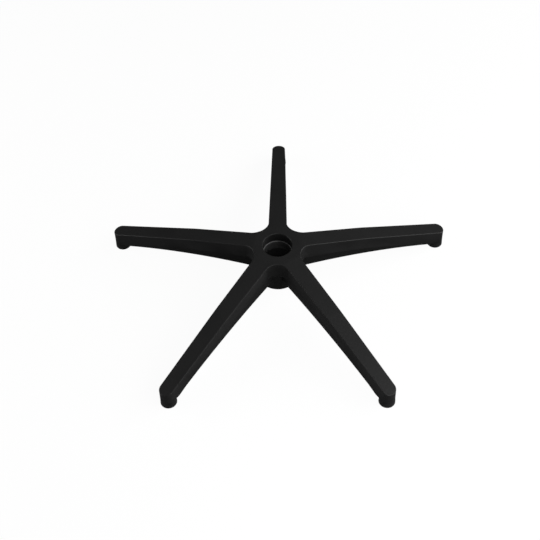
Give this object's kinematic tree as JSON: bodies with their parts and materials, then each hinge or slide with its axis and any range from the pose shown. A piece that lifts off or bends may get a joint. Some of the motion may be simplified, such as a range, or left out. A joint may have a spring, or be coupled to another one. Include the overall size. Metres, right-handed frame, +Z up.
{
  "type": "office chair five star base",
  "caption": "One-piece moulded star base for a swivel chair: hollow ribbed legs that taper and fall to caster sockets, and a hub with a tapered column bore.",
  "frame": {"origin": "centre of the column mouth, in the plane of the hub's top face", "axes": "+Z up along the hub axis, +Y along one leg"},
  "size_m": [0.6046, 0.5764, 0.1057],
  "materials": {
    "black_nylon": "fine-grained satin black"
  },
  "bodies": {
    "root": {"five_star_base": "black_nylon"}
  },
  "joints": []
}
